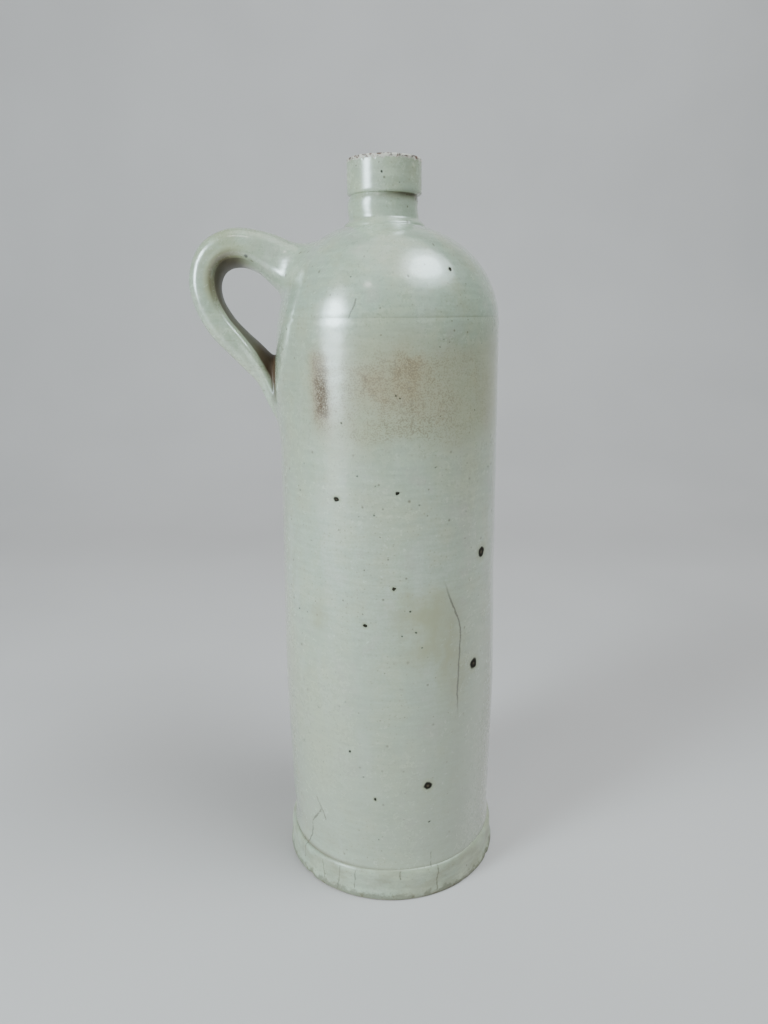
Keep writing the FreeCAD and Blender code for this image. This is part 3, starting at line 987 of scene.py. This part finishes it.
def base_material():
    """Glaze on the band, soiled, worn and darker towards the sole, with bare clay underneath."""
    paint = glaze("glaze_foot")
    add_foot_cracks(paint)
    patchy = paint.noise(6, detail=4.0, rough=0.65, seed=41.0)
    soiled = paint.noise(9, detail=4.0, rough=0.6, stretch=(1, 1, 0.5), seed=45.0)
    soiled = paint.step(soiled, 0.38, 0.68)
    paint.lay(STAIN_FOOT, soiled, 0.55)
    # darker towards the sole, in a ragged band a few mm high
    darker_edge_top = paint.step(patchy, 0.3, 0.75, 1.2, 4.6)
    darker_edge = paint.step(paint.minus(darker_edge_top, paint.z), -0.9, 1.0)
    paint.lay(DARK_SOLE_EDGE, darker_edge, 0.62)
    rub = paint.step(paint.noise(2.5, detail=3.0, seed=42.0), 0.56, 0.66)
    paint.lay(BROWN_POOL_AND_SHADE, paint.step(paint.z, 5, 1), rub, 0.6)
    under = paint.step(paint.z, 0.7, 0.25)
    gritty = paint.noise(1.4, detail=4.0, rough=0.7, seed=43.0)
    clay = paint.mix(gritty, SOLE_CLAY, SOLE_CLAY_PALE)
    paint.lay(clay, under)
    paint.dull(paint.largest(paint.times(darker_edge, 0.6), paint.times(soiled, 0.25), under))
    paint.roughness = paint.sum(paint.roughness, 0.12)
    bare = paint.largest(under, paint.times(darker_edge, 0.4))
    grit = paint.noise(0.9, detail=3.0, rough=0.7, seed=44.0)
    paint.raise_by(grit, bare, 0.12)
    return paint.finish(coat=0.1, specular=0.8)


def neck_material():
    """The neck: stained in the mouth, and painted shadow under the lip ring on the side away from
    the handle.
    """
    paint = glaze("glaze_neck", cool=0.3, unroll_radius=NECK_RADIUS)
    inside = paint.step(paint.radius, SPIGOT_RADIUS - 0.2, SPIGOT_RADIUS - 0.6)
    paint.lay(BROWN_POOL_AND_SHADE, inside, 0.8)
    # painted shadow under the lip ring, deepest on the right, away from the light
    lip_shadow = paint.step(paint.z, LIP_FOOT - 3.4, LIP_FOOT - 0.8)
    paint.lay(BROWN_POOL_AND_SHADE, lip_shadow, paint.step(paint.x, -10, 6, 0.1, 0.70))
    return paint.finish(coat=0.6, specular=0.9)


def lip_material():
    """Glaze, with bare red-brown and pale clay showing where the rim is chipped and rubbed."""
    paint = glaze("glaze_lip", cool=0.2, unroll_radius=LIP_RADIUS)
    add_spots(paint, LIP_SPOTS, NECK_OFFSET)
    ragged = paint.noise(1.2, detail=3.0, rough=0.65, seed=51.0)
    chip = paint.step(paint.sum(paint.layer("bare_clay"), paint.times(ragged, 0.6)), 0.55, 0.68)
    edge = paint.sum(paint.minus(paint.z, TOP - 1.5), paint.times(ragged, 2.4))
    rubbed = paint.step(edge, 1.0, 1.35)
    bare = paint.largest(chip, rubbed)
    which = paint.step(paint.noise(2.2, detail=3.0, rough=0.6, seed=53.0), 0.41, 0.48)
    clay = paint.mix(which, BARE_CLAY, BARE_PALE)
    burnt = paint.step(paint.noise(1.0, seed=55.0), 0.56, 0.62)
    burnt = paint.times(burnt, paint.step(paint.z, TOP - 1.6, TOP - 0.8))
    clay = paint.mix(paint.times(burnt, 0.85), clay, BURNT_CLAY)
    paint.lay(clay, bare)
    paint.dull(bare, 0.8)
    paint.raise_by(bare, paint.noise(0.5, seed=54.0), 0.10)
    return paint.finish(coat=0.6, specular=0.9)


def handle_material():
    """Glaze that has run and gone brown on the inner side of the loop and in the lower crotch, the
    inner side darkened further by painted shade.
    """
    paint = glaze("glaze_handle", cool=0.6, unroll_radius=HANDLE_RADIUS)
    inner, along = paint.layer("strap_inner"), paint.layer("strap_along")
    above = paint.layer("above_body")
    under = paint.layer("strap_under")
    patchy = paint.noise(7, detail=3.0, seed=61.0)
    loop = paint.step(along, 1.8, 3.6)
    bend = paint.times(loop, paint.step(along, 8.0, 6.2))
    tan = paint.times(bend, paint.step(under, 0.0, 0.5), paint.step(patchy, 0.2, 0.6, 0.8, 1.0))
    crown = paint.times(paint.band(along, 2.6, 5.2, 1.0), paint.step(patchy, 0.2, 0.6), 0.62)
    paint.lay(STAIN, paint.largest(paint.times(tan, 0.8), crown))
    # brown glaze pooled under the bend, deepened by painted shade where the strap turns away
    # underneath
    paint.lay(BROWN_POOL_AND_SHADE, bend, paint.step(under, 0.28, 0.94), paint.step(along, 2.6, 4.0), 0.90)
    # painted shade and a painted dark reflection on the loop's inner face, over its brown glaze
    band = paint.times(loop, paint.step(inner, 0.38, 0.62))
    paint.lay(SHADED_GLAZE, band, 0.92)
    near_wall = paint.times(paint.step(above, 10, 5), paint.step(along, 8.8, 10.2))
    paint.lay(BROWN_POOL_AND_SHADE, near_wall, paint.step(inner, 0.05, 0.55), 0.55)
    front = paint.step(paint.azimuth, -97, -88, 0.4, 1.0)
    crotch = paint.times(near_wall, paint.step(inner, 0.30, 0.60), front)
    paint.lay(POOL, crotch, 0.95)
    seam = paint.times(paint.step(along, 9.6, 10.3), paint.step(along, 12.7, 11.4))
    seam = paint.times(paint.step(above, 2.2, 0.6), seam, paint.step(paint.azimuth, -92, -84))
    paint.lay(POOL, seam, 0.85)
    paint.dull(paint.largest(band, crotch, seam), 0.75)
    for place in HANDLE_SPOTS:
        gap = paint.vector("DISTANCE", paint.mm, place, result="Value")
        paint.lay(IRON, paint.step(gap, 1.1, 0.5, 0.0, 0.85))
    return paint.finish(coat=1.0, specular=1.0)


def plain_material(name, colour, roughness):
    """A quiet surface for the floor, with a very slight unevenness."""
    paint = Paint(name)
    cloud = paint.noise(180, seed=71.0)
    paint.colour = colour
    paint.roughness = roughness
    paint.shade(paint.step(cloud, 0.3, 0.7, 0.97, 1.02))
    paint.relief = paint.times(cloud, 0.01)
    return paint.finish(coat=0.0, specular=0.3)


# ---- stage, lights and camera -------------------------------------------------------------------


LIGHT_TARGET = (0.0, 0.0, 0.20)
CAMERA_PLACE = (0.0, -0.3169, 0.2369)
CAMERA_PITCH = 14.43          # degrees down
CAMERA_YAW, CAMERA_ROLL = -0.0068, -0.0083   # radians
CAMERA_LENS = 27.07
ROOM_GREY = (0.62, 0.62, 0.62, 1.0)
ROOM_STRENGTH = 0.06


def make_stage():
    """A plain pale floor that sweeps up behind into a plain wall."""
    front, back, side, rise, bend = -1.6, 0.95, 2.2, 1.7, 0.45
    section = [(front, 0.0), *round_bend(back - bend, bend, bend, -90, 0, 14), (back, rise)]
    points, faces = [], []
    for y, z in section:
        points += [(-side, y, z), (side, y, z)]
    for row in range(len(section) - 1):
        a = row * 2
        faces.append((a, a + 1, a + 3, a + 2))
    mesh = bpy.data.meshes.new("floor")
    mesh.from_pydata(points, [], faces)
    mesh.shade_smooth()
    mesh.materials.append(plain_material("pale_floor", PALE_FLOOR, 0.6))
    floor = new_object("floor", mesh)


def add_light(name, azimuth, elevation, distance, size, watts, tint=(1, 1, 1)):
    """A soft oval light, aimed at the bottle's shoulder from an azimuth and elevation."""
    lift = math.radians(elevation)
    way = Vector(on_circle(azimuth, math.cos(lift), math.sin(lift)))
    data = bpy.data.lights.new(name, "AREA")
    data.shape = "ELLIPSE"
    data.size, data.size_y = size
    data.energy = watts
    data.color = tint
    light = new_object(name, data)
    light.location = Vector(LIGHT_TARGET) + way * distance
    light.rotation_euler = (-way).to_track_quat("-Z", "Y").to_euler()


def make_lights():
    """A window at the left, bright in the middle of a tall soft glow, another high on the right, a
    small lamp, two wide soft fills, and dim surroundings."""
    add_light("window_core", -53, 16, 1.15, (0.30, 0.50), 6.6, (0.78, 1.0, 1.07))
    add_light("window_pane", -54, 15, 1.20, (0.54, 0.82), 8.2, (0.79, 1.0, 1.065))
    add_light("window_tall", -54, 14, 1.25, (0.60, 1.35), 4.1, (0.84, 1.0, 1.06))
    add_light("window_high", 65, 58, 1.10, (0.58, 0.42), 6.0, (0.80, 1.0, 1.06))
    add_light("window_glow", 67, 57, 1.15, (1.10, 0.78), 7.2, (0.84, 1.0, 1.04))
    add_light("lamp_small", -23, 47, 1.10, (0.12, 0.10), 0.4, (1.0, 0.93, 0.92))
    add_light("fill_left", -65, 30, 1.70, (1.70, 1.70), 1.0, (1.0, 0.95, 0.90))
    add_light("fill_above", 50, 82, 1.40, (1.50, 1.50), 5.5, (1.0, 0.94, 0.88))
    world = bpy.data.worlds.new("room")
    world.use_nodes = True
    background = world.node_tree.nodes["Background"]
    background.inputs["Color"].default_value = ROOM_GREY
    background.inputs["Strength"].default_value = ROOM_STRENGTH
    bpy.context.scene.world = world


def make_camera():
    """The main view: level with the shoulder, close, looking a little down."""
    data = bpy.data.cameras.new("main_camera")
    data.sensor_width = 36.0
    data.lens = CAMERA_LENS
    data.clip_start = 0.01
    camera = new_object("main_camera", data)
    turn = Matrix.Rotation(-CAMERA_YAW, 4, "Z")
    turn @= Matrix.Rotation(math.radians(90 - CAMERA_PITCH), 4, "X")
    turn @= Matrix.Rotation(CAMERA_ROLL, 4, "Z")
    camera.matrix_world = Matrix.Translation(CAMERA_PLACE) @ turn
    bpy.context.scene.camera = camera


# ---- the scene ----------------------------------------------------------------------------------

PIECES = [
    (make_base, base_material),
    (make_barrel, barrel_material),
    (make_shoulder, shoulder_material),
    (make_neck, neck_material),
    (make_lip, lip_material),
    (make_handle, handle_material),
]

for make_piece, make_material in PIECES:
    make_piece().data.materials.append(make_material())
make_stage()
make_lights()
make_camera()
